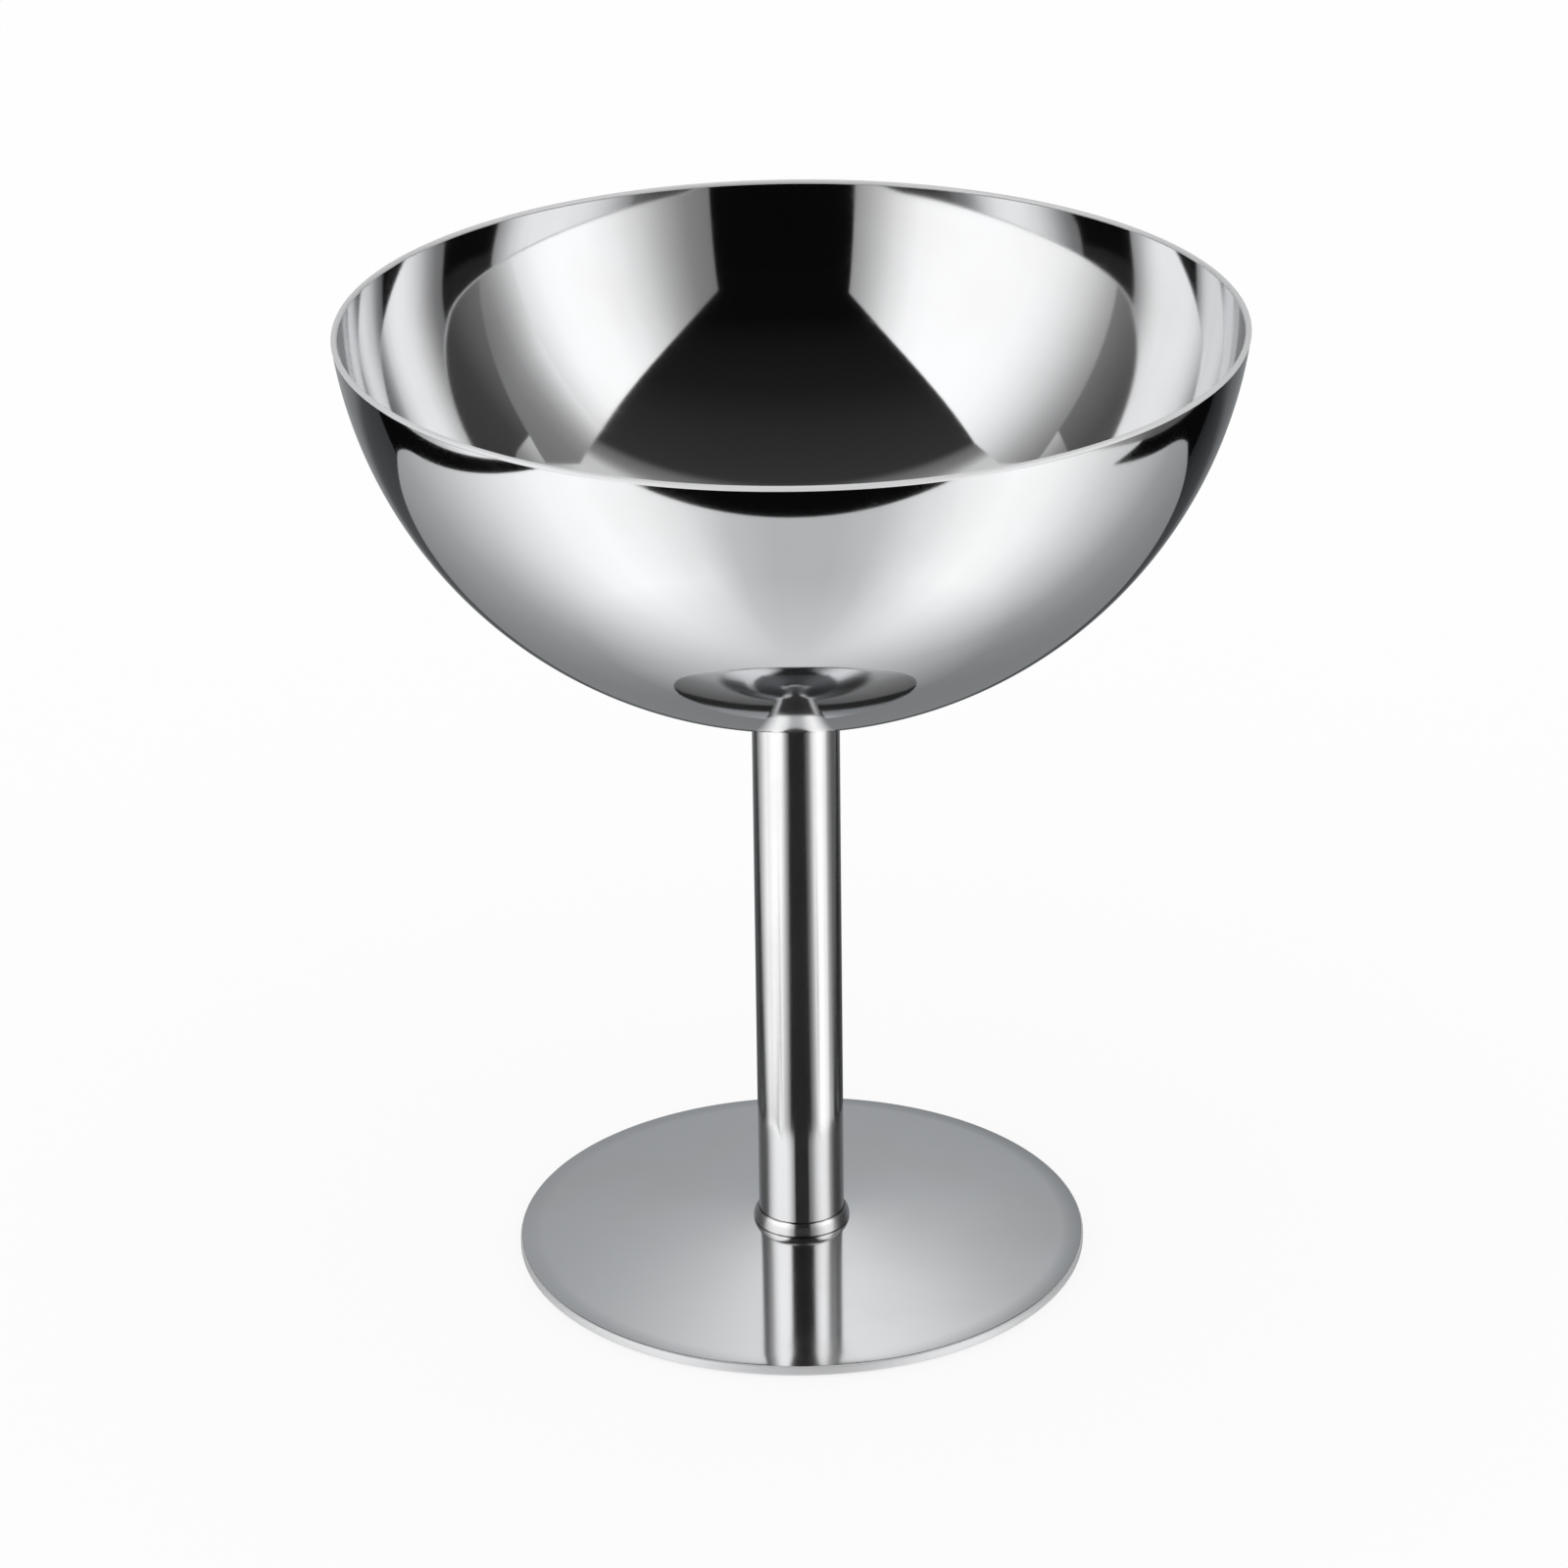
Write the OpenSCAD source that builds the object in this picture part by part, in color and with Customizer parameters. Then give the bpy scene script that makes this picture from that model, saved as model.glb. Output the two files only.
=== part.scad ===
// Stemmed dessert cup of polished sheet steel.
// A spun bowl, part of a thin ball, stands on a straight tube. The tube stands on a pressed base
// disc, and a rounded ring closes the joint at its foot.
// Millimetres. Z points up, and the origin is the middle of the base at table height.

/* [Overall] */
// Outside diameter of the bowl at its lip
rim_d = 100; // [80:1:140]
// Height of the cup from the table to the top of the lip
cup_h = 113; // [85:1:160]

/* [Bowl] */
// Depth of the bowl, from the top of the lip to the outside of its bottom
bowl_depth = 44.3; // [30:0.1:54]
// Thickness of the bowl's sheet
bowl_wall = 0.6; // [0.4:0.05:1.5]
// How far the burnished round of the lip stands proud of the sheet, inside and outside
lip_swell = 0.03; // [0.02:0.01:0.3]

/* [Stem] */
// Outside diameter of the stem tube
stem_d = 9.9; // [6:0.1:20]
// Thickness of the tube's wall
stem_wall = 0.8; // [0.5:0.1:2]
// Room for the solder between the tube and the bowl that it carries
solder_gap = 0.03; // [0:0.01:0.1]

/* [Foot ring] */
// How far the ring stands proud of the tube
ring_proud = 0.65; // [0.2:0.05:1.6]
// Radius of the ring's rounded flank, which stands upright at the base
ring_round = 2.3; // [1.7:0.05:5]
// Room between the ring and the tube that it is slid over
ring_gap = 0.02; // [0:0.01:0.1]

/* [Base] */
// Diameter of the base disc
base_d = 65.7; // [50:0.1:100]
// Thickness of the base disc's plate
base_plate = 1.4; // [1:0.1:3]
// Slope of the base up to the stem, in degrees
base_slope = 2.9; // [0:0.1:12]
// Width of the band inside the edge that is dressed down a little
base_band = 2.5; // [1:0.1:6]
// How much steeper than the rest of the base that band is, in degrees
base_dress = 3; // [0:0.5:8]
// Width of the flat that is ground under the edge, on which the cup stands
foot_flat = 2; // [1:0.5:4]
// Radius to which both edges of the plate are eased
base_ease = 0.33; // [0.1:0.01:0.45]

/* [Hidden] */
$fn = 180;

steel = [0.80, 0.81, 0.82];
rim_r = rim_d / 2;
stem_r = stem_d / 2;
base_r = base_d / 2;

// The middle of the bowl's sheet follows one ball, from its bottom to the middle of the lip.
lip_round = bowl_wall / 2 + lip_swell;
lip_r = rim_r - lip_round;
lip_z = cup_h - lip_round;
bowl_rise = bowl_depth - lip_round - bowl_wall / 2;
ball_r = (lip_r * lip_r + bowl_rise * bowl_rise) / (2 * bowl_rise);
ball_z = lip_z - bowl_rise + ball_r;
bowl_outer = ball_r + bowl_wall / 2;
bowl_inner = ball_r - bowl_wall / 2;

// The ring and the tube stand on a flat in the middle of the base, as wide as the ring.
land_r = stem_r + ring_proud;
flat_r = base_r - foot_flat;
land_z = base_top(land_r);

// The band inside the base's edge, and the middle of the upper eased edge
band_r = base_r - base_band;
band_slope = base_slope + base_dress;
band_drop = (base_band - base_ease) * tan(band_slope);
shoulder_z = base_top(band_r) - band_drop - base_ease / cos(band_slope);

// Height of the base disc's upper face at the distance r from its middle, inside the band
function base_top(r) = (flat_r - r) * tan(base_slope) + base_plate / cos(base_slope);

module bowl() {
    reach = 2 * bowl_outer;
    color(steel)
        translate([0, 0, ball_z])
            rotate_extrude() {
                intersection() {
                    difference() {
                        circle(r = bowl_outer);
                        circle(r = bowl_inner);
                    }
                    // The sheet runs from the bottom of the ball up to the line through the lip.
                    polygon([
                        [0, 0],
                        [0, -reach],
                        [reach, -reach],
                        [lip_r, lip_z - ball_z] * reach / ball_r
                    ]);
                }
                translate([lip_r, lip_z - ball_z])
                    circle(r = lip_round);
            }
}

module stem_tube() {
    color(steel)
        rotate_extrude()
            difference() {
                translate([stem_r - stem_wall, land_z])
                    square([stem_wall, ball_z - land_z]);
                // The top is hollowed to the round of the bowl, so that it seats all the way round.
                translate([0, ball_z])
                    circle(r = bowl_outer + solder_gap);
            }
}

module foot_ring() {
    color(steel)
        rotate_extrude()
            intersection() {
                translate([land_r - ring_round, land_z])
                    circle(r = ring_round);
                translate([stem_r + ring_gap, land_z])
                    square([ring_proud, ring_round]);
            }
}

module base_disc() {
    color(steel)
        rotate_extrude() {
            polygon([
                [0, land_z - base_plate],
                [land_r - base_plate * tan(base_slope / 2), land_z - base_plate],
                [flat_r, 0],
                [base_r - base_ease, 0],
                [base_r, base_ease],
                [base_r, shoulder_z],
                [base_r - base_ease * (1 - sin(band_slope)), shoulder_z + base_ease * cos(band_slope)],
                [band_r, base_top(band_r)],
                [land_r, land_z],
                [0, land_z]
            ]);
            // The eased edges of the plate, below and above
            translate([base_r - base_ease, base_ease])
                circle(r = base_ease);
            translate([base_r - base_ease, shoulder_z])
                circle(r = base_ease);
        }
}

bowl();
stem_tube();
foot_ring();
base_disc();
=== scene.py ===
"""Stemmed dessert cup of polished steel, laid out as an add-on.

Four turned pieces stand on one axis: the bowl, the stem tube, the foot ring and the base disc.
Each is drawn as a profile, height over radius, and turned round Z. The stage is a light tent of
plain cards round the cup, because polished steel shows nothing but what stands round it.
"""
import math

import bmesh
import bpy
from bpy.props import FloatProperty, FloatVectorProperty, IntProperty, PointerProperty
from mathutils import Matrix, Vector


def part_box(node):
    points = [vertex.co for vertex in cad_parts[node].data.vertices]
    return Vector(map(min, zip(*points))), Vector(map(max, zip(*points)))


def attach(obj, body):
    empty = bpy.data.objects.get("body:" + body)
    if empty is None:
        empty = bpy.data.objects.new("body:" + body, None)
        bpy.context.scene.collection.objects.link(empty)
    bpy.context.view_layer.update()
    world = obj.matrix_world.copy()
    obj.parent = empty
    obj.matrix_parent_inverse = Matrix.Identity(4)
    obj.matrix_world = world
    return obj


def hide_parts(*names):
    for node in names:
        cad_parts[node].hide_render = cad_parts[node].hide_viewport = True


bl_info = {
    "name": "Stemmed Dessert Cup",
    "version": (1, 0, 0),
    "blender": (4, 5, 0),
    "location": "3D View > Sidebar > Dessert Cup",
    "description": "Builds a stemmed dessert cup of polished steel and the light tent round it",
    "category": "Object",
}

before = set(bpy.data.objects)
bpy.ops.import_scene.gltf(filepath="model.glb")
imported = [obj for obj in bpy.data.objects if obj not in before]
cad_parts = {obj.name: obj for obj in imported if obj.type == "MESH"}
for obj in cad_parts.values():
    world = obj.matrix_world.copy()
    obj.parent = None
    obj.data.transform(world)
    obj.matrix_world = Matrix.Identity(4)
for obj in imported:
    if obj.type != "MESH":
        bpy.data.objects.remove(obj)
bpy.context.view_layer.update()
BODY = "root"
BOWL_LOW, BOWL_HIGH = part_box("bowl")
TUBE_LOW, TUBE_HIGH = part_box("stem_tube")
RING_LOW, RING_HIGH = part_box("foot_ring")
_, BASE_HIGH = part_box("base_disc")
UP = Vector((0, 0, 1))

# Steel: what haze does to its colour, the dark grey of the shade painted into a joint, and
# roughnesses
HAZE_TINT = (0.965, 0.96, 0.95)
# The dark grey painted into the ring's joints as their shade
JOINT_SHADE = (0.07, 0.068, 0.065, 1)
LINES_SHARE = 0.5
SCRATCH_ROUGHNESS = 0.03
SATIN_ROUGHNESS = 0.4
SCATTERED = 0.9

# How far the normals lean on the bowl's inner wall: at its sides, and just under the lip
SIDE_LEAN = math.radians(2.8)
LIP_LEAN = math.radians(3.4)
LIP_LEAN_ASIDE = math.radians(1.4)

# The light tent: how the screen turns light into greys, the share of light that steel gives
# back, how high the cup's middle is, and where the back wall and the ceiling are
SCREEN_POWER = 2.2
STEEL_SHARE = 0.8
MIDDLE = 0.09
BACK = 1.5
LID = 1.9


# Settings

class CupBowlSettings(bpy.types.PropertyGroup):
    """Sizes of the bowl"""
    lip_diameter: FloatProperty(
        name="Lip diameter", description="Outside diameter of the bowl at its lip",
        default=2 * BOWL_HIGH.x, min=0.05, max=0.2, unit="LENGTH")
    lip_height: FloatProperty(
        name="Lip height", description="Height of the top of the lip above the table",
        default=BOWL_HIGH.z, min=0.06, max=0.2, unit="LENGTH")
    bottom_height: FloatProperty(
        name="Bottom height", description="Height of the outside of the bowl's bottom",
        default=BOWL_LOW.z, min=0.02, max=0.15, unit="LENGTH")
    sheet: FloatProperty(
        name="Sheet", description="Thickness of the bowl's sheet",
        default=0.0006, min=0.0003, max=0.002, unit="LENGTH")
    lip_swell: FloatProperty(
        name="Lip swell", description="How far the burnished lip stands proud of the sheet",
        default=0.00003, min=0.0, max=0.0005, unit="LENGTH")
    turns: IntProperty(
        name="Steps round", description="Number of facets round the bowl",
        default=320, min=64, max=512)


class CupStemSettings(bpy.types.PropertyGroup):
    """Sizes of the stem tube and the foot ring"""
    tube_diameter: FloatProperty(
        name="Tube diameter", description="Outside diameter of the stem tube",
        default=2 * TUBE_HIGH.x, min=0.004, max=0.03, unit="LENGTH")
    tube_wall: FloatProperty(
        name="Tube wall", description="Thickness of the tube's wall",
        default=0.0008, min=0.0003, max=0.003, unit="LENGTH")
    ring_diameter: FloatProperty(
        name="Ring diameter", description="Outside diameter of the foot ring",
        default=2 * RING_HIGH.x, min=0.005, max=0.04, unit="LENGTH")
    ring_round: FloatProperty(
        name="Ring round", description="Radius of the ring's rounded flank",
        default=0.0023, min=0.0008, max=0.006, unit="LENGTH")
    ring_gap: FloatProperty(
        name="Ring gap", description="Room between the ring and the tube",
        default=0.00002, min=0.0, max=0.0002, unit="LENGTH")


class CupBaseSettings(bpy.types.PropertyGroup):
    """Sizes of the base disc"""
    diameter: FloatProperty(
        name="Diameter", description="Diameter of the base disc",
        default=2 * BASE_HIGH.x, min=0.03, max=0.12, unit="LENGTH")
    plate: FloatProperty(
        name="Plate", description="Thickness of the base disc's plate",
        default=0.0014, min=0.0008, max=0.004, unit="LENGTH")
    slope: FloatProperty(
        name="Slope", description="Slope of the base up to the stem",
        default=math.radians(2.9), min=0.0, max=math.radians(15), subtype="ANGLE")
    band: FloatProperty(
        name="Dressed band", description="Width of the band inside the edge that is dressed down",
        default=0.0025, min=0.0005, max=0.008, unit="LENGTH")
    dress: FloatProperty(
        name="Band slope", description="How much steeper than the base that band is",
        default=math.radians(3), min=0.0, max=math.radians(10), subtype="ANGLE")
    foot_flat: FloatProperty(
        name="Ground flat", description="Width of the flat under the edge that the cup stands on",
        default=0.002, min=0.0005, max=0.005, unit="LENGTH")
    ease: FloatProperty(
        name="Edge ease", description="Radius to which both edges of the plate are eased",
        default=0.00033, min=0.0001, max=0.0006, unit="LENGTH")


class CupSteelSettings(bpy.types.PropertyGroup):
    """Finish of the steel"""
    mirror_colour: FloatVectorProperty(
        name="Mirror steel", description="Colour of the mirror-polished steel",
        subtype="COLOR", size=3, min=0.0, max=1.0, default=(0.80, 0.805, 0.815))
    stem_colour: FloatVectorProperty(
        name="Stem steel", description="Colour of the stem's drawn steel",
        subtype="COLOR", size=3, min=0.0, max=1.0, default=(0.87, 0.87, 0.875))
    base_colour: FloatVectorProperty(
        name="Base steel", description="Colour of the base disc's bright polish",
        subtype="COLOR", size=3, min=0.0, max=1.0, default=(0.78, 0.785, 0.795))
    mirror_roughness: FloatProperty(
        name="Mirror roughness", description="Roughness of the mirror polish",
        default=0.035, min=0.0, max=0.5, subtype="FACTOR")
    stem_roughness: FloatProperty(
        name="Stem roughness", description="Roughness of the stem's bright drawn finish",
        default=0.1, min=0.0, max=0.5, subtype="FACTOR")
    base_roughness: FloatProperty(
        name="Base roughness", description="Roughness of the base disc's polish",
        default=0.06, min=0.0, max=0.5, subtype="FACTOR")


class CupStageSettings(bpy.types.PropertyGroup):
    """The camera, the floor and the light tent"""
    camera_distance: FloatProperty(
        name="Camera distance", description="Distance of the camera in front of the stem's axis",
        default=0.576464, min=0.2, max=3.0, unit="LENGTH")
    camera_height: FloatProperty(
        name="Camera height", description="Height of the camera above the table",
        default=0.316417, min=0.0, max=3.0, unit="LENGTH")
    camera_pitch: FloatProperty(
        name="Camera pitch", description="How far the camera looks down",
        default=0.42163, min=0.0, max=1.57, subtype="ANGLE")
    camera_yaw: FloatProperty(
        name="Camera yaw", description="How far the camera is turned to the right",
        default=-0.00244, min=-0.5, max=0.5, subtype="ANGLE")
    camera_roll: FloatProperty(
        name="Camera roll", description="How far the camera is rolled",
        default=-0.01303, min=-0.5, max=0.5, subtype="ANGLE")
    camera_lens: FloatProperty(
        name="Lens", description="Focal length in millimetres on a 36 mm sensor",
        default=128.55, min=20.0, max=400.0)


# Turned meshes

def arc(middle, radius, start, end, steps):
    """Points and outward normals of a circle's arc in the profile plane; angles in radians."""
    out = []
    for i in range(steps + 1):
        a = start + (end - start) * i / steps
        d = (math.cos(a), math.sin(a))
        out.append(((middle[0] + radius * d[0], middle[1] + radius * d[1]), d))
    return out


def line(a, b, steps=1):
    """Points and normals of a straight run from a to b; the normal is to the right of the run."""
    dx, dz = b[0] - a[0], b[1] - a[1]
    length = math.hypot(dx, dz)
    n = (dz / length, -dx / length)
    return [((a[0] + dx * i / steps, a[1] + dz * i / steps), n) for i in range(steps + 1)]


def smooth(t):
    """0 up to t = 0, 1 from t = 1 on, and an even bend between the two."""
    t = min(1.0, max(0.0, t))
    return t * t * (3 - 2 * t)


def turned(name, runs, around, node, material):
    """Turns a closed profile round Z. Each run is a list of (point, normal), smooth in itself.

    A normal can also be a function of the angle round the axis.
    """
    bm = bmesh.new()
    rings = {}

    def ring(point):
        """The vertices round the axis at a point of the profile: one only on the axis."""
        key = (round(point[0], 9), round(point[1], 9))
        if key not in rings:
            if key[0] < 1e-9:
                rings[key] = [bm.verts.new((0, 0, point[1]))]
            else:
                rings[key] = [
                    bm.verts.new((point[0] * math.cos(t), point[0] * math.sin(t), point[1]))
                    for t in (2 * math.pi * i / around for i in range(around))]
        return rings[key]

    normals = []
    for run in runs:
        for (p, n), (q, m) in zip(run, run[1:]):
            low, high = ring(p), ring(q)
            for i in range(around):
                j = (i + 1) % around
                a, b = low[i % len(low)], low[j % len(low)]
                c, d = high[j % len(high)], high[i % len(high)]
                kept = []
                for vert, nrm, k in ((a, n, i), (b, n, j), (c, m, j), (d, m, i)):
                    if not any(vert is v for v, _, _ in kept):
                        kept.append((vert, nrm, k))
                if len(kept) < 3:
                    continue
                bm.faces.new([v for v, _, _ in kept]).smooth = True
                for vert, nrm, k in kept:
                    on_axis = vert.co.x == 0 and vert.co.y == 0
                    t = 2 * math.pi * (i + 0.5 if on_axis else k) / around
                    nrm = nrm(t) if callable(nrm) else nrm
                    normals.append((nrm[0] * math.cos(t), nrm[0] * math.sin(t), nrm[1]))
    mesh = bpy.data.meshes.new(name)
    bm.to_mesh(mesh)
    bm.free()
    mesh.normals_split_custom_set([Vector(n).normalized() for n in normals])
    mesh.materials.append(material)
    obj = bpy.data.objects.new(name, mesh)
    bpy.context.scene.collection.objects.link(obj)
    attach(obj, BODY)
    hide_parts(node)
    return obj


# Shader groups

def wire(tree, a, b):
    """Links the output a to the input b."""
    tree.links.new(a, b)


def maths(tree, operation, a, b=None, c=None, clamp=False):
    """A maths node on numbers or outputs; gives its output."""
    node = tree.nodes.new("ShaderNodeMath")
    node.operation = operation
    node.use_clamp = clamp
    for socket, value in zip(node.inputs, (a, b, c)):
        if value is None:
            continue
        if isinstance(value, (int, float)):
            socket.default_value = value
        else:
            wire(tree, value, socket)
    return node.outputs[0]


def new_group(name, inputs, outputs):
    """An empty shader group with float inputs and float or colour outputs."""
    tree = bpy.data.node_groups.new(name, "ShaderNodeTree")
    for label, default in inputs:
        socket = tree.interface.new_socket(label, in_out="INPUT", socket_type="NodeSocketFloat")
        socket.default_value = default
    for label, kind in outputs:
        tree.interface.new_socket(label, in_out="OUTPUT", socket_type=kind)
    return tree, tree.nodes.new("NodeGroupInput"), tree.nodes.new("NodeGroupOutput")


def round_the_axis(tree):
    """Radius, height and angle of a point on a turned piece, from its own coordinates."""
    place = tree.nodes.new("ShaderNodeTexCoord")
    split = tree.nodes.new("ShaderNodeSeparateXYZ")
    wire(tree, place.outputs["Object"], split.inputs[0])
    x, y, z = split.outputs
    radius = maths(tree, "SQRT", maths(tree, "ADD", maths(tree, "MULTIPLY", x, x),
                                       maths(tree, "MULTIPLY", y, y)))
    angle = maths(tree, "ARCTAN2", y, x)
    return radius, z, angle, place.outputs["Object"]


def noise(tree, vector, scale, detail=2.0, roughness=0.5):
    """Soft noise between 0 and 1 at the given places."""
    node = tree.nodes.new("ShaderNodeTexNoise")
    node.inputs["Scale"].default_value = scale
    node.inputs["Detail"].default_value = detail
    node.inputs["Roughness"].default_value = roughness
    wire(tree, vector, node.inputs["Vector"])
    return node.outputs["Fac"]


def joined(tree, x, y, z):
    """Three outputs joined to one place."""
    node = tree.nodes.new("ShaderNodeCombineXYZ")
    for socket, value in zip(node.inputs, (x, y, z)):
        wire(tree, value, socket)
    return node.outputs[0]


def lathe_lines_group():
    """Fine rings that a polishing mop leaves round a turned piece, as a height and a mask."""
    tree, given, out = new_group(
        "Lathe lines", [("Lines per metre", 9000.0), ("Reach", 1.0)],
        [("Height", "NodeSocketFloat"), ("Mask", "NodeSocketFloat")])
    radius, z, angle, _ = round_the_axis(tree)
    along = maths(tree, "ADD", maths(tree, "MULTIPLY", radius, 0.7), z)
    along = maths(tree, "MULTIPLY", along, given.outputs["Lines per metre"])
    swirl = joined(tree, along, maths(tree, "MULTIPLY", maths(tree, "COSINE", angle), 0.9),
                   maths(tree, "MULTIPLY", maths(tree, "SINE", angle), 0.9))
    fine = noise(tree, swirl, 1.0, 3.0, 0.6)
    wire(tree, maths(tree, "MULTIPLY", fine, given.outputs["Reach"]), out.inputs["Height"])
    wire(tree, fine, out.inputs["Mask"])
    return tree


def handling_group():
    """Faint cloudy haze of wiping and washing, and sparse hairline scratches, as masks."""
    tree, given, out = new_group(
        "Handling haze", [("Cloud size", 60.0), ("Scratch size", 900.0)],
        [("Cloud", "NodeSocketFloat"), ("Scratches", "NodeSocketFloat")])
    place = tree.nodes.new("ShaderNodeTexCoord").outputs["Object"]
    cloud = tree.nodes.new("ShaderNodeTexNoise")
    cloud.inputs["Detail"].default_value = 4.0
    wire(tree, place, cloud.inputs["Vector"])
    wire(tree, given.outputs["Cloud size"], cloud.inputs["Scale"])
    soft = tree.nodes.new("ShaderNodeMapRange")
    soft.interpolation_type = "SMOOTHSTEP"
    soft.inputs["From Min"].default_value = 0.42
    soft.inputs["From Max"].default_value = 0.72
    wire(tree, cloud.outputs["Fac"], soft.inputs["Value"])
    wire(tree, soft.outputs["Result"], out.inputs["Cloud"])
    marks = tree.nodes.new("ShaderNodeTexVoronoi")
    marks.feature = "DISTANCE_TO_EDGE"
    wire(tree, given.outputs["Scratch size"], marks.inputs["Scale"])
    wire(tree, place, marks.inputs["Vector"])
    thin = maths(tree, "LESS_THAN", marks.outputs["Distance"], 0.012)
    few = maths(tree, "GREATER_THAN", noise(tree, place, 240.0, 1.0), 0.6)
    wire(tree, maths(tree, "MULTIPLY", thin, few), out.inputs["Scratches"])
    return tree


def pressed_sheet_group():
    """The slow, shallow unevenness of sheet that was spun or pressed, as a height in metres."""
    tree, given, out = new_group(
        "Pressed sheet", [("Depth", 0.00001)], [("Height", "NodeSocketFloat")])
    place = tree.nodes.new("ShaderNodeTexCoord").outputs["Object"]
    slow = noise(tree, place, 28.0, 1.0, 0.4)
    wire(tree, maths(tree, "MULTIPLY", slow, given.outputs["Depth"]), out.inputs["Height"])
    return tree


def use_group(tree, group, **values):
    """Puts a shader group into a material, with its inputs set by name."""
    node = tree.nodes.new("ShaderNodeGroup")
    node.node_tree = group
    for label, value in values.items():
        node.inputs[label.replace("_", " ")].default_value = value
    return node


def group_named(name, make):
    """The shader group of that name, which is made when it is first needed."""
    return bpy.data.node_groups.get(name) or make()


def satin_edge_group():
    """Where a burnished or cut edge lies: a mask for the places past a height and a radius."""
    tree, given, out = new_group(
        "Satin edge", [("Height", 0.0), ("Radius", 0.0)], [("Mask", "NodeSocketFloat")])
    radius, z, _, _ = round_the_axis(tree)
    high = maths(tree, "GREATER_THAN", z, given.outputs["Height"])
    wide = maths(tree, "GREATER_THAN", radius, given.outputs["Radius"])
    wire(tree, maths(tree, "MULTIPLY", high, wide), out.inputs["Mask"])
    return tree


def joint_shade_group():
    """Painted shade in the joints at the foot and the top of a ring, as a mask by height."""
    tree, given, out = new_group(
        "Painted joint shade", [("Foot", 0.0), ("Top", 1.0), ("Width", 0.0002)],
        [("Mask", "NodeSocketFloat")])
    _, z, _, place = round_the_axis(tree)
    over = maths(tree, "SUBTRACT", z, given.outputs["Foot"])
    under = maths(tree, "SUBTRACT", given.outputs["Top"], z)
    near = maths(tree, "DIVIDE", maths(tree, "MINIMUM", over, under), given.outputs["Width"])
    # Noise makes the painted shade line uneven in width
    ragged = maths(tree, "MULTIPLY_ADD", noise(tree, place, 700.0, 1.0), 0.9, -0.45)
    near = maths(tree, "ADD", near, ragged)
    wire(tree, maths(tree, "SUBTRACT", 1.0, near, clamp=True), out.inputs["Mask"])
    return tree


def steel(name, colour, roughness, haze, line_depth, lines_per_metre, sheet_depth, edge=None,
          metallic=1.0, soft_after=None, joint=None):
    """Polished steel: a little cloudy, with fine lines round the axis and a slow unevenness.

    edge: the height and radius past which the steel is satin instead of polished, and how satin.
    joint: the heights of the foot and the top of a ring with a line of painted shade in its two
    joints.
    soft_after: number of reflections after which the steel scatters the light it gets.
    """
    found = bpy.data.materials.get(name)
    if found:
        return found
    material = bpy.data.materials.new(name)
    material.use_nodes = True
    tree = material.node_tree
    shader = tree.nodes["Principled BSDF"]
    shader.inputs["Metallic"].default_value = metallic
    handling = use_group(tree, group_named("Handling haze", handling_group))
    lines = use_group(tree, group_named("Lathe lines", lathe_lines_group),
                      Lines_per_metre=lines_per_metre)
    sheet = use_group(tree, group_named("Pressed sheet", pressed_sheet_group), Depth=sheet_depth)
    # Base colour: a shade warmer and darker where the haze lies.
    tint = tree.nodes.new("ShaderNodeMix")
    tint.data_type = "RGBA"
    tint.inputs["A"].default_value = (*colour, 1)
    tint.inputs["B"].default_value = (*(c * t for c, t in zip(colour, HAZE_TINT)), 1)
    wire(tree, handling.outputs["Cloud"], tint.inputs["Factor"])
    shade = tint.outputs["Result"]
    # Painted shade: a dark line in the ring's two joints, mixed into the base colour
    if joint:
        lined = use_group(tree, group_named("Painted joint shade", joint_shade_group), Foot=joint[0],
                          Top=joint[1])
        painted_shade = tree.nodes.new("ShaderNodeMix")
        painted_shade.data_type = "RGBA"
        wire(tree, shade, painted_shade.inputs["A"])
        painted_shade.inputs["B"].default_value = JOINT_SHADE
        wire(tree, lined.outputs["Mask"], painted_shade.inputs["Factor"])
        shade = painted_shade.outputs["Result"]
    wire(tree, shade, shader.inputs["Base Color"])
    # Roughness: the polish, plus the haze, the fine lines and the hairline scratches.
    rough = maths(tree, "MULTIPLY_ADD", handling.outputs["Cloud"], haze, roughness)
    rough = maths(tree, "MULTIPLY_ADD", lines.outputs["Mask"], roughness * LINES_SHARE, rough)
    rough = maths(tree, "MULTIPLY_ADD", handling.outputs["Scratches"], SCRATCH_ROUGHNESS, rough,
                  clamp=True)
    if edge:
        satin = use_group(tree, group_named("Satin edge", satin_edge_group), Height=edge[0],
                          Radius=edge[1]).outputs["Mask"]
        rough = maths(tree, "MAXIMUM", rough, maths(tree, "MULTIPLY", satin, SATIN_ROUGHNESS))
        mirror = maths(tree, "MULTIPLY_ADD", satin, -edge[2], metallic)
        if soft_after:
            # Light that goes round the wall many times would be cut off: it is scattered before.
            path = tree.nodes.new("ShaderNodeLightPath")
            deep = maths(tree, "GREATER_THAN", path.outputs["Ray Depth"], soft_after - 0.5)
            mirror = maths(tree, "MULTIPLY_ADD", deep, -SCATTERED, mirror, clamp=True)
        wire(tree, mirror, shader.inputs["Metallic"])
    wire(tree, rough, shader.inputs["Roughness"])
    height = maths(tree, "MULTIPLY_ADD", lines.outputs["Height"], line_depth,
                   sheet.outputs["Height"])
    bump = tree.nodes.new("ShaderNodeBump")
    bump.inputs["Strength"].default_value = 1.0
    bump.inputs["Distance"].default_value = 1.0
    wire(tree, height, bump.inputs["Height"])
    wire(tree, bump.outputs["Normal"], shader.inputs["Normal"])
    return material


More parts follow.
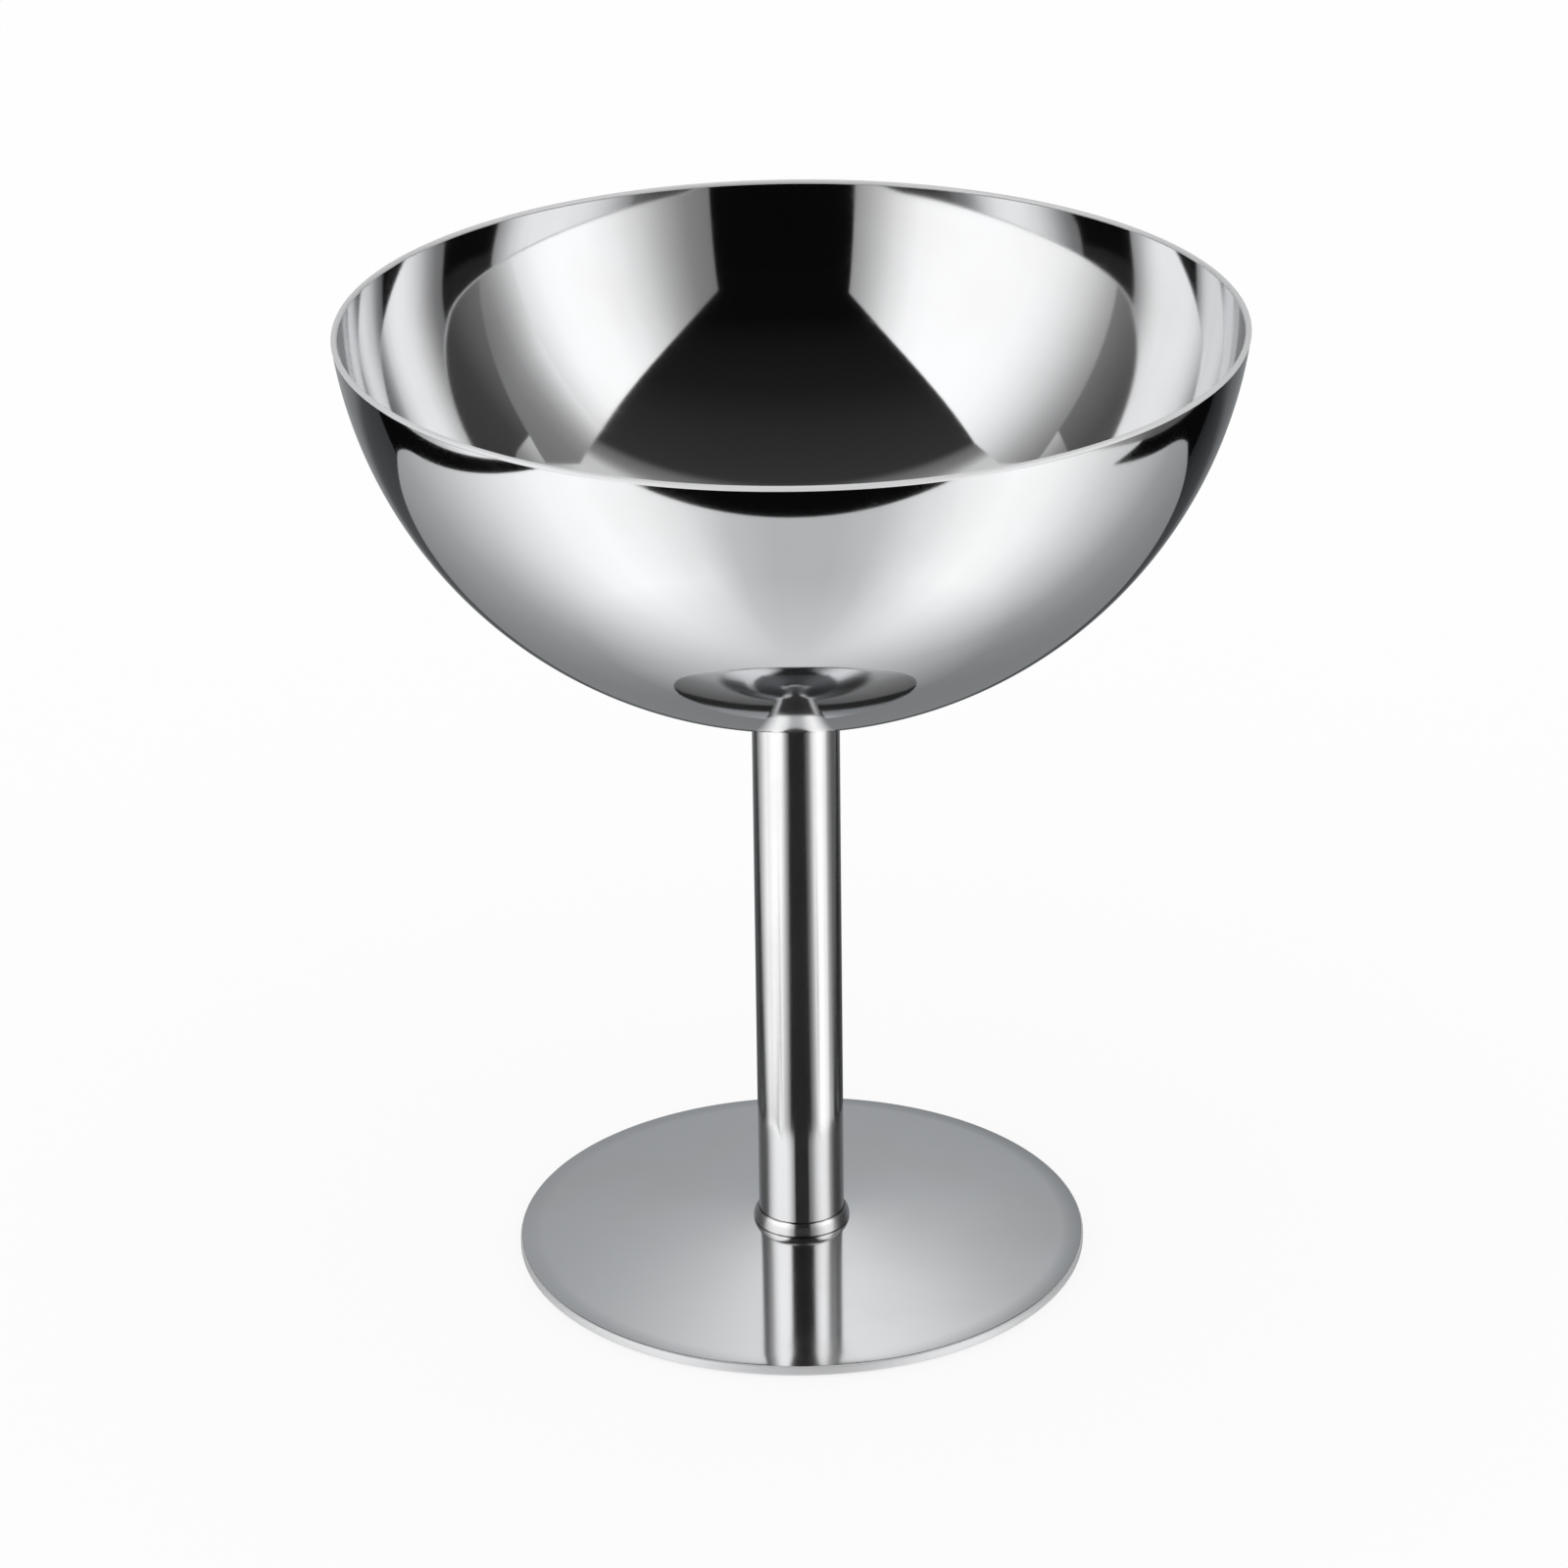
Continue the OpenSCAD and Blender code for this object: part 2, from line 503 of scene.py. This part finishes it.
def bowl_steel():
    """Mirror polish with a satin lip."""
    s = bpy.context.scene.cup_steel
    bowl = bpy.context.scene.cup_bowl
    return steel("Bowl steel", s.mirror_colour, s.mirror_roughness, 0.02, 2e-8, 9000, 4e-6,
                 edge=(bowl.lip_height - bowl.sheet * 0.7, 0.0, 0.7), soft_after=4)


def stem_steel():
    """Bright drawn tube."""
    s = bpy.context.scene.cup_steel
    return steel("Stem steel", s.stem_colour, s.stem_roughness, 0.03, 1e-7, 7000, 0,
                 metallic=0.98)


def ring_steel():
    """As the stem, with a line of painted shade in the ring's two joints."""
    s = bpy.context.scene.cup_steel
    return steel("Ring steel", s.stem_colour, s.stem_roughness, 0.03, 1e-7, 7000, 0,
                 metallic=0.98, joint=(RING_LOW.z, RING_HIGH.z))


def base_steel():
    """Bright polish with a satin edge."""
    s = bpy.context.scene.cup_steel
    base = bpy.context.scene.cup_base
    return steel("Base steel", s.base_colour, s.base_roughness, 0.03, 2e-8, 9000, 1e-6,
                 edge=(0.0, base.diameter / 2 - base.ease * 0.6, 0.5))


# The pieces

def bowl_profile(bowl):
    """The bowl's profile as smooth runs: outside, round of the lip, inside."""
    half = bowl.sheet / 2
    lip_round = half + bowl.lip_swell
    lip_r = bowl.lip_diameter / 2 - lip_round
    lip_z = bowl.lip_height - lip_round
    rise = lip_z - half - bowl.bottom_height
    ball_r = (lip_r ** 2 + rise ** 2) / (2 * rise)
    ball = (0.0, lip_z - rise + ball_r)
    lean = math.atan2(lip_z - ball[1], lip_r)
    down = -math.pi / 2
    # The lip's round crosses the sheet's two faces a little before the line through its middle.
    cross = math.acos(min(1.0, half / lip_round))
    outer_end = lean - 2 * math.asin(lip_round * math.sin(cross) / (2 * (ball_r + half)))
    inner_end = lean - 2 * math.asin(lip_round * math.sin(cross) / (2 * (ball_r - half)))
    outside = arc(ball, ball_r + half, down, outer_end, 110)
    inside = []
    for p, n in arc(ball, ball_r - half, inner_end, down, 150):
        # The polish flattens the wall a little, more of it at the two sides. It is so little that
        # only the reflections show it, so the normals lean and the wall stays as it is.
        inset = bowl.lip_diameter / 2 - p[0]
        wide = SIDE_LEAN * smooth((0.016 - inset) / 0.013) * smooth((inset - 0.0004) / 0.002)
        thin = smooth((0.0032 - inset) / 0.0028)

        def normal(t, rise=math.asin(-n[1]), wide=wide, thin=thin):
            """The normal at the angle t round the axis."""
            aside = abs(math.cos(t))
            side = smooth((aside - 0.2) / 0.6)
            ends = LIP_LEAN + (LIP_LEAN_ASIDE - LIP_LEAN) * smooth((aside - 0.08) / 0.2)
            tip = rise + wide * side + thin * ends * (1 - side)
            return -math.cos(tip), math.sin(tip)

        inside.append((p, normal))
    lip = arc((lip_r, lip_z), lip_round, lean - cross, lean + math.pi + cross, 16)
    lip[0] = (outside[-1][0], lip[0][1])
    lip[-1] = (inside[0][0], lip[-1][1])
    return [outside, lip, inside], ball, ball_r


class CUP_OT_bowl(bpy.types.Operator):
    """Turns the bowl: part of a ball of thin sheet, with a rounded lip"""
    bl_idname = "cup.bowl"
    bl_label = "Bowl"

    def execute(self, context):
        bowl = context.scene.cup_bowl
        runs, _, _ = bowl_profile(bowl)
        turned("Bowl", runs, bowl.turns, "bowl", bowl_steel())
        return {"FINISHED"}


class CUP_OT_stem(bpy.types.Operator):
    """Turns the stem tube and the ring at its foot"""
    bl_idname = "cup.stem"
    bl_label = "Stem"

    def execute(self, context):
        stem = context.scene.cup_stem
        _, ball, ball_r = bowl_profile(context.scene.cup_bowl)
        outer = stem.tube_diameter / 2
        inner = outer - stem.tube_wall
        foot = TUBE_LOW.z
        seat = TUBE_HIGH.z
        seat_r = math.hypot(outer, ball[1] - seat)
        mouth = ball[1] - math.sqrt(seat_r ** 2 - inner ** 2)
        a0 = math.atan2(seat - ball[1], outer)
        a1 = math.atan2(mouth - ball[1], inner)
        top = [(p, (-n[0], -n[1])) for p, n in arc(ball, seat_r, a0, a1, 6)]
        runs = [line((inner, foot), (outer, foot)), line((outer, foot), (outer, seat), 24),
                top, line((inner, mouth), (inner, foot), 24)]
        turned("Stem_tube", runs, 192, "stem_tube", stem_steel())
        ring_r = stem.ring_diameter / 2
        bore = outer + stem.ring_gap
        middle = (ring_r - stem.ring_round, foot)
        top_angle = math.acos((bore - middle[0]) / stem.ring_round)
        steps = 24
        bead = []
        for i, (p, n) in enumerate(arc(middle, stem.ring_round, 0, top_angle, steps)):
            # Its flank is dressed to run into the tube: the normals lean less than the bead does.
            lean = math.atan2(n[1], n[0]) * (0.25 + 0.75 * (i / steps) ** 3)
            bead.append((p, (math.cos(lean), math.sin(lean))))
        runs = [line((bore, foot), bead[0][0]), bead, line(bead[-1][0], (bore, foot))]
        turned("Foot_ring", runs, 192, "foot_ring", ring_steel())
        return {"FINISHED"}


class CUP_OT_base(bpy.types.Operator):
    """Turns the base disc: a shallow cone of plate with eased edges, hollow underneath"""
    bl_idname = "cup.base"
    bl_label = "Base disc"

    def execute(self, context):
        base = context.scene.cup_base
        slope = base.slope
        radius = base.diameter / 2
        flat = radius - base.foot_flat
        land_r = context.scene.cup_stem.ring_diameter / 2
        land_z = BASE_HIGH.z
        under_r = land_r - base.plate * math.tan(slope / 2)
        under_z = land_z - base.plate
        ease = base.ease
        band_r = radius - base.band
        band_z = land_z - (band_r - land_r) * math.tan(slope)
        steep = slope + base.dress
        shoulder = band_z - (base.band - ease) * math.tan(steep) - ease / math.cos(steep)
        low = (radius - ease, ease)
        high = (radius - ease, shoulder)
        lower = arc(low, ease, -math.pi / 2, 0, 8)
        upper = arc(high, ease, 0, math.pi / 2 - steep, 10)
        # The dressed band turns smoothly out of the slope: its normals lean over its width.
        steps = 12
        band = []
        for i, (point, _) in enumerate(line(upper[-1][0], (band_r, band_z), steps)):
            lean = steep - base.dress * i / steps
            band.append((point, (math.sin(lean), math.cos(lean))))
        runs = [line((0, under_z), (under_r, under_z), 3),
                line((under_r, under_z), (flat, 0), 24),
                line((flat, 0), lower[0][0], 2),
                lower + line(lower[-1][0], upper[0][0], 2)[1:-1] + upper
                + band[1:] + line((band_r, band_z), (land_r, land_z), 48)[1:],
                line((land_r, land_z), (0, land_z), 3)]
        turned("Base_disc", runs, 320, "base_disc", base_steel())
        return {"FINISHED"}


# The stage

def tent_light(name, around, upward=None, middle=None, patch=None, cool=0.0, later=None):
    """A card's own light. The greys are what polished steel shows of it, from 0 to 255.

    around: (degrees clockwise round the cup, starting behind it; grey) stops.
    upward: (height; factor) stops. middle: grey straight under the cup.
    patch: a soft lighter patch as (x, z, half width, half height, grey added).
    cool: how much cooler the darker parts are.
    later: (n, factor) for how the card looks from the nth reflection on.
    """
    material, tree, x, y, z = bare_light(name)
    turn = maths(tree, "FRACT", maths(tree, "DIVIDE", maths(tree, "ARCTAN2", x, y), 2 * math.pi))
    colour = ramp(tree, turn, [(deg / 360, grey / 255) for deg, grey in around])
    if upward:
        low, high = upward[0][0], upward[-1][0]
        up = ranged(tree, z, low, high)
        factor = ramp(tree, up, [((h - low) / (high - low), f) for h, f in upward])
        colour = maths(tree, "MULTIPLY", colour, factor)
    if middle is not None:
        reach = maths(tree, "SQRT", maths(tree, "ADD", maths(tree, "MULTIPLY", x, x),
                                          maths(tree, "MULTIPLY", y, y)))
        mix = tree.nodes.new("ShaderNodeMix")
        mix.inputs["A"].default_value = middle / 255
        wire(tree, colour, mix.inputs["B"])
        wire(tree, ranged(tree, reach, 0.05, 0.6), mix.inputs["Factor"])
        colour = mix.outputs["Result"]
    if patch:
        across = maths(tree, "DIVIDE", maths(tree, "SUBTRACT", x, patch[0]), patch[2])
        over = maths(tree, "DIVIDE", maths(tree, "SUBTRACT", z, patch[1]), patch[3])
        away = maths(tree, "SQRT", maths(tree, "ADD", maths(tree, "MULTIPLY", across, across),
                                         maths(tree, "MULTIPLY", over, over)))
        soft = ranged(tree, away, 1.0, 0.0, smooth=True)
        colour = maths(tree, "MULTIPLY_ADD", soft, patch[4] / 255, colour)
    if later:
        path = tree.nodes.new("ShaderNodeLightPath")
        deep = maths(tree, "GREATER_THAN", path.outputs["Ray Depth"], later[0] - 0.5)
        factor = maths(tree, "MULTIPLY_ADD", deep, later[1] - 1, 1.0)
        colour = maths(tree, "MULTIPLY", colour, factor)
    shine(tree, colour, cool)
    return material


def bare_light(name):
    """An empty material for a card, with the three parts of the place on it."""
    material = bpy.data.materials.new(name)
    material.use_nodes = True
    tree = material.node_tree
    tree.nodes.clear()
    place = tree.nodes.new("ShaderNodeNewGeometry")
    split = tree.nodes.new("ShaderNodeSeparateXYZ")
    wire(tree, place.outputs["Position"], split.inputs[0])
    return material, tree, *split.outputs


def shine(tree, grey, cool=0.0):
    """Lets a card glow with the given grey. The darker it is, the cooler its light can be."""
    tint = tree.nodes.new("ShaderNodeCombineColor")
    for channel, shift in zip(tint.inputs, (0.1 * cool, 0.0, -0.08 * cool)):
        level = maths(tree, "POWER", grey, SCREEN_POWER + shift)
        wire(tree, maths(tree, "DIVIDE", level, STEEL_SHARE), channel)
    light = tree.nodes.new("ShaderNodeEmission")
    wire(tree, tint.outputs[0], light.inputs["Color"])
    out = tree.nodes.new("ShaderNodeOutputMaterial")
    wire(tree, light.outputs[0], out.inputs["Surface"])


def ranged(tree, value, low, high, smooth=False):
    """0 at low and 1 at high, and evenly or smoothly in between."""
    node = tree.nodes.new("ShaderNodeMapRange")
    if smooth:
        node.interpolation_type = "SMOOTHSTEP"
    node.inputs["From Min"].default_value = low
    node.inputs["From Max"].default_value = high
    wire(tree, value, node.inputs["Value"])
    return node.outputs["Result"]


def ramp(tree, value, stops):
    """A curve through (place, level) stops; gives the level at the value."""
    node = tree.nodes.new("ShaderNodeValToRGB")
    marks = node.color_ramp.elements
    while len(marks) < len(stops):
        marks.new(0.5)
    for mark, (where, level) in zip(marks, stops):
        mark.position = where
        mark.color = (level, level, level, 1)
    wire(tree, value, node.inputs["Fac"])
    split = tree.nodes.new("ShaderNodeSeparateColor")
    wire(tree, node.outputs["Color"], split.inputs[0])
    return split.outputs[0]


def card(name, corners, material, faces=None):
    """A card of the light tent, seen by the steel and not by the camera."""
    mesh = bpy.data.meshes.new(name)
    mesh.from_pydata([Vector(c) for c in corners], [], faces or [tuple(range(len(corners)))])
    mesh.materials.append(material)
    obj = bpy.data.objects.new(name, mesh)
    bpy.context.scene.collection.objects.link(obj)
    obj.visible_camera = False
    obj.visible_shadow = False
    obj.visible_diffuse = False
    return obj


def ceiling_light(height):
    """Light of the ceiling at the given height over the bowl, by the distance in front of it."""
    material, tree, x, y, _ = bare_light("Ceiling")
    # The dark part's edge bends back to both sides.
    side = maths(tree, "DIVIDE", x, height)
    bend = maths(tree, "MULTIPLY", maths(tree, "MULTIPLY", side, side), 0.08)
    along = maths(tree, "SUBTRACT", maths(tree, "DIVIDE", y, height), bend)
    stops = [
        (-1.6, 17), (-1.2, 26), (-0.8, 32), (-0.5, 44), (-0.215, 52), (-0.18, 96), (-0.12, 122),
        (-0.06, 190), (0.04, 196), (0.2, 165), (0.32, 130), (0.55, 100), (1.2, 92)]
    low, high = stops[0][0], stops[-1][0]
    colour = ramp(tree, ranged(tree, along, low, high),
                  [((at - low) / (high - low), grey / 255) for at, grey in stops])
    shine(tree, colour)
    return material


def upright(name, a, b, bottoms, tops, material):
    """A standing card from a to b, each (x, y); bottoms and tops are the heights at a and b."""
    return card(name, [(*a, bottoms[0]), (*b, bottoms[1]), (*b, tops[1]), (*a, tops[0])], material)


class CUP_OT_stage(bpy.types.Operator):
    """Sets up the camera, the pale floor, the world and the light tent"""
    bl_idname = "cup.stage"
    bl_label = "Stage"

    def execute(self, context):
        self.camera(context)
        self.world(context)
        self.floor()
        self.tent()
        context.scene.view_settings.view_transform = "Standard"
        return {"FINISHED"}

    def camera(self, context):
        """The camera at the photo's place and angle."""
        s = context.scene.cup_stage
        forward = Vector((math.sin(s.camera_yaw) * math.cos(s.camera_pitch),
                          math.cos(s.camera_yaw) * math.cos(s.camera_pitch),
                          -math.sin(s.camera_pitch)))
        right = forward.cross(UP).normalized()
        over = right.cross(forward)
        side = right * math.cos(s.camera_roll) + over * math.sin(s.camera_roll)
        top = over * math.cos(s.camera_roll) - right * math.sin(s.camera_roll)
        data = bpy.data.cameras.new("Camera")
        data.sensor_width = 36.0
        data.lens = s.camera_lens
        data.clip_start = 0.01
        data.clip_end = 50.0
        cam = bpy.data.objects.new("Camera", data)
        context.scene.collection.objects.link(cam)
        turn = Matrix((side, top, -forward)).transposed().to_4x4()
        cam.matrix_world = Matrix.Translation((0, -s.camera_distance, s.camera_height)) @ turn
        context.scene.camera = cam

    def world(self, context):
        """Even white light all round."""
        world = bpy.data.worlds.new("Studio")
        context.scene.world = world
        world.use_nodes = True
        tree = world.node_tree
        back = tree.nodes["Background"]
        path = tree.nodes.new("ShaderNodeLightPath")
        seen = maths(tree, "MAXIMUM", path.outputs["Is Camera Ray"], path.outputs["Is Glossy Ray"])
        seen = maths(tree, "MAXIMUM", seen, path.outputs["Is Transmission Ray"])
        mix = tree.nodes.new("ShaderNodeMix")
        mix.data_type = "RGBA"
        mix.inputs["A"].default_value = (1.0, 1.0, 1.0, 1)
        mix.inputs["B"].default_value = (0.99, 0.99, 0.99, 1)
        wire(tree, seen, mix.inputs["Factor"])
        wire(tree, mix.outputs["Result"], back.inputs["Color"])

    def floor(self):
        """The pale ground that the cup stands on."""
        mesh = bpy.data.meshes.new("Floor")
        size = 6.0
        mesh.from_pydata([(-size, -size, 0), (size, -size, 0), (size, size, 0), (-size, size, 0)],
                         [], [(0, 1, 2, 3)])
        material = bpy.data.materials.new("Pale floor")
        material.use_nodes = True
        tree = material.node_tree
        paint = tree.nodes["Principled BSDF"]
        # A ground lit from below: it glows, and takes only a faint shadow.
        paint.inputs["Base Color"].default_value = (0.2, 0.2, 0.2, 1)
        paint.inputs["Roughness"].default_value = 0.9
        paint.inputs["Specular IOR Level"].default_value = 0.0
        paint.inputs["Emission Color"].default_value = (0.79, 0.79, 0.79, 1)
        paint.inputs["Emission Strength"].default_value = 1.0
        # From below the floor lets the view through to the underside of the base.
        side = tree.nodes.new("ShaderNodeNewGeometry")
        clear = tree.nodes.new("ShaderNodeBsdfTransparent")
        both = tree.nodes.new("ShaderNodeMixShader")
        wire(tree, side.outputs["Backfacing"], both.inputs[0])
        wire(tree, paint.outputs[0], both.inputs[1])
        wire(tree, clear.outputs[0], both.inputs[2])
        wire(tree, both.outputs[0], tree.nodes["Material Output"].inputs["Surface"])
        mesh.materials.append(material)
        obj = bpy.data.objects.new("Floor", mesh)
        bpy.context.scene.collection.objects.link(obj)
        obj.location.z = -0.0002
        obj.visible_glossy = False

    def tent(self):
        """The cards round the cup. Corners and heights are in metres, brightness in stops."""
        under = MIDDLE - 1.0

        # The two big side panels toe in towards the camera. Each is brightest in its middle.
        right = tent_light("Right panel", [
            (98, 200), (103, 224), (109, 246), (115, 252), (124, 250), (133, 232), (140, 204),
            (147, 162), (153, 128), (160, 112)],
            [(-1.3, 0.55), (-0.95, 0.7), (-0.8, 1.0), (1.5, 1.0)])
        card("Right_panel", [
            (1.425, -0.28, -0.76), (1.322, -1.1, -0.76), (1.322, -1.1, -1.25),
            (1.0975, -2.9, -1.25), (1.0975, -2.9, 1.45), (1.425, -0.28, 1.52)], right)
        left = tent_light("Left panel", [
            (196, 138), (202, 178), (208, 218), (215, 245), (222, 252), (240, 252), (250, 247),
            (256, 238), (262, 224)], [(-1.3, 0.55), (-0.95, 0.7), (-0.8, 1.0), (1.7, 1.0)])
        card("Left_panel", [
            (-0.9687, -3.19, -1.25), (-1.2906, -1.1, -1.25), (-1.2906, -1.1, -0.76),
            (-1.4292, -0.2, -0.76), (-1.4292, -0.2, 1.68), (-0.9687, -3.19, 1.65)], left)

        # Darker side walls behind the panels, and the back wall with its soft bright patch
        right_side = tent_light("Right side wall", [
            (70, 104), (80, 108), (86, 116), (91, 134), (96, 170), (101, 214)],
            [(-0.8, 1.2), (0.0, 0.97), (0.5, 0.97), (0.8, 1.05), (1.5, 1.05)])
        card("Right_side_wall", [
            (1.425, -0.28, -0.76), (1.425, -0.28, 1.52), (1.43, 0.15, 1.46), (1.43, 0.38, 1.2),
            (1.46, 0.30, 1.05), (1.46, -0.04, 0.1), (1.46, 0.02, -0.76)], right_side)
        right_rear = tent_light("Right rear wall", [
            (36, 96), (50, 72), (60, 58), (74, 64), (82, 88), (92, 112)],
            [(-0.8, 1.45), (-0.4, 1.15), (0.1, 1.0), (1.5, 1.0)])
        card("Right_rear_wall", [
            (1.46, 0.02, -0.76), (1.46, -0.04, 0.1), (1.46, 0.30, 1.05), (1.44, 0.5, 1.0),
            (1.36, 1.6, 0.95), (1.36, 1.6, -0.7)], right_rear)
        left_side = tent_light("Left side wall", [
            (262, 224), (267, 207), (271, 189), (275, 167), (280, 141), (284, 120), (292, 112)])
        card("Left_side_wall", [
            (-1.4292, -0.2, -0.35), (-1.4292, -0.2, 1.68), (-1.45, 0.15, 1.55), (-1.46, 0.40, 1.25),
            (-1.48, 0.34, 1.05), (-1.48, 0.14, 0.1), (-1.48, 0.12, -0.35)], left_side)
        left_rear = tent_light("Left rear wall", [
            (270, 120), (279, 114), (285, 98), (294, 78), (310, 84), (324, 96)])
        card("Left_rear_wall", [
            (-1.48, 0.12, -0.35), (-1.48, 0.14, 0.1), (-1.48, 0.34, 1.05), (-1.5, 0.6, 1.05),
            (-1.5, 1.6, 0.95), (-1.5, 1.6, -0.35)], left_rear)
        left_foot = tent_light("Foot of the left rear wall", [
            (262, 240), (270, 232), (278, 208), (288, 170), (300, 130), (312, 94), (324, 80)])
        upright("Left_rear_foot", (-1.4292, -0.2), (-1.5, 1.6), (-0.76, -0.7), (-0.35, -0.35),
                left_foot)
        foot = tent_light("Foot of the back wall", [
            (0, 124), (14, 112), (30, 98), (40, 80), (46, 60), (60, 48), (290, 46), (300, 66),
            (310, 98), (320, 108), (330, 116), (342, 124), (359, 126)],
            [(-1.3, 0.6), (-0.9, 0.6), (-0.78, 0.64), (-0.68, 0.92), (-0.6, 1.0), (-0.5, 1.12)],
            cool=0.5)
        upright("Back_wall_foot", (-1.8, BACK), (1.5, BACK), (-1.3, -1.3), (0.1, 0.1), foot)
        back = tent_light("Back wall", [
            (0, 146), (7, 138), (14, 132), (30, 110), (50, 80), (310, 80), (330, 118), (346, 145),
            (353, 152), (359, 148)], [(0.1, 0.93), (0.55, 0.93), (0.8, 1.0), (1.9, 1.0)],
            patch=(0.04, 1.16, 0.30, 0.8, 78), cool=0.6)
        upright("Back_wall", (-1.8, BACK), (1.5, BACK), (0.1, 0.1), (LID, LID), back)

        # The light sheet under the cup, straight in front and rounded at its two back corners
        sheet = tent_light("Bottom sheet", [
            (0, 116), (24, 120), (42, 129), (60, 149), (78, 189), (96, 225), (108, 244),
            (120, 250), (132, 239), (144, 218), (156, 188), (168, 176), (186, 176), (198, 188),
            (210, 224), (222, 240), (238, 250), (252, 243), (270, 217), (288, 184), (306, 154),
            (324, 135), (342, 120), (359, 116)], middle=196, cool=0.45, later=(3, 0.42))
        outline = [(-1.51, -1.13), (1.51, -1.13), (1.74, -0.9), (1.74, 0.42), (1.51, 0.10)]
        corner = [(1.09 + 0.42 * math.cos(a), 0.78 + 0.42 * math.sin(a))
                  for a in (math.radians(9 * i) for i in range(6))]
        corner += [(1.17, 1.18), (0.93, 1.30), (0.70, 1.41), (0.53, 1.48), (0.30, 1.62)]
        outline += corner + [(-x, y) for x, y in reversed(corner)]
        card("Bottom_sheet", [(x, y, under) for x, y in outline], sheet)

        # The ceiling: dark in front of the cup, then a light strip over it, and grey behind
        card("Ceiling", [(-4, -5, LID), (4, -5, LID), (4, 4, LID), (-4, 4, LID)],
             ceiling_light(LID - MIDDLE))

        # A dark room outside all of it, and a dark card close behind the bowl
        dark = tent_light("Dark room", [(0, 16), (359, 16)], later=(2, 2.6))
        room = [(x, y, z) for z in (-3.0, 2.4) for x, y in ((-4, -6), (4, -6), (4, 4), (-4, 4))]
        card("Dark_room", room, dark, [
            (0, 1, 2, 3), (4, 5, 6, 7), (0, 1, 5, 4), (1, 2, 6, 5), (2, 3, 7, 6), (3, 0, 4, 7)])
        upright("Dark_card", (-0.14, 0.12), (0.13, 0.12), (0.135, 0.135), (0.19, 0.19), dark)


# Add-on

class CUP_PT_panel(bpy.types.Panel):
    """Lists the cup's pieces and its stage"""
    bl_idname = "CUP_PT_panel"
    bl_label = "Dessert Cup"
    bl_space_type = "VIEW_3D"
    bl_region_type = "UI"
    bl_category = "Dessert Cup"

    def draw(self, context):
        for group in (context.scene.cup_bowl, context.scene.cup_stem, context.scene.cup_base,
                      context.scene.cup_steel, context.scene.cup_stage):
            box = self.layout.box()
            for key in group.bl_rna.properties.keys():
                if key not in ("rna_type", "name"):
                    box.prop(group, key)
        for operator in OPERATORS:
            self.layout.operator(operator.bl_idname)


SETTINGS = {
    "cup_bowl": CupBowlSettings,
    "cup_stem": CupStemSettings,
    "cup_base": CupBaseSettings,
    "cup_steel": CupSteelSettings,
    "cup_stage": CupStageSettings,
}
OPERATORS = (CUP_OT_bowl, CUP_OT_stem, CUP_OT_base, CUP_OT_stage)


def register():
    """Registers the settings, the operators and the panel."""
    for cls in (*SETTINGS.values(), *OPERATORS, CUP_PT_panel):
        bpy.utils.register_class(cls)
    for name, cls in SETTINGS.items():
        setattr(bpy.types.Scene, name, PointerProperty(type=cls))


def unregister():
    """Takes them all out again."""
    for name in SETTINGS:
        delattr(bpy.types.Scene, name)
    for cls in (CUP_PT_panel, *reversed(OPERATORS), *reversed(SETTINGS.values())):
        bpy.utils.unregister_class(cls)


def main():
    """Builds the cup and its stage."""
    register()
    bpy.ops.cup.bowl()
    bpy.ops.cup.stem()
    bpy.ops.cup.base()
    bpy.ops.cup.stage()
    bpy.context.view_layer.update()


if __name__ == "__main__":
    main()
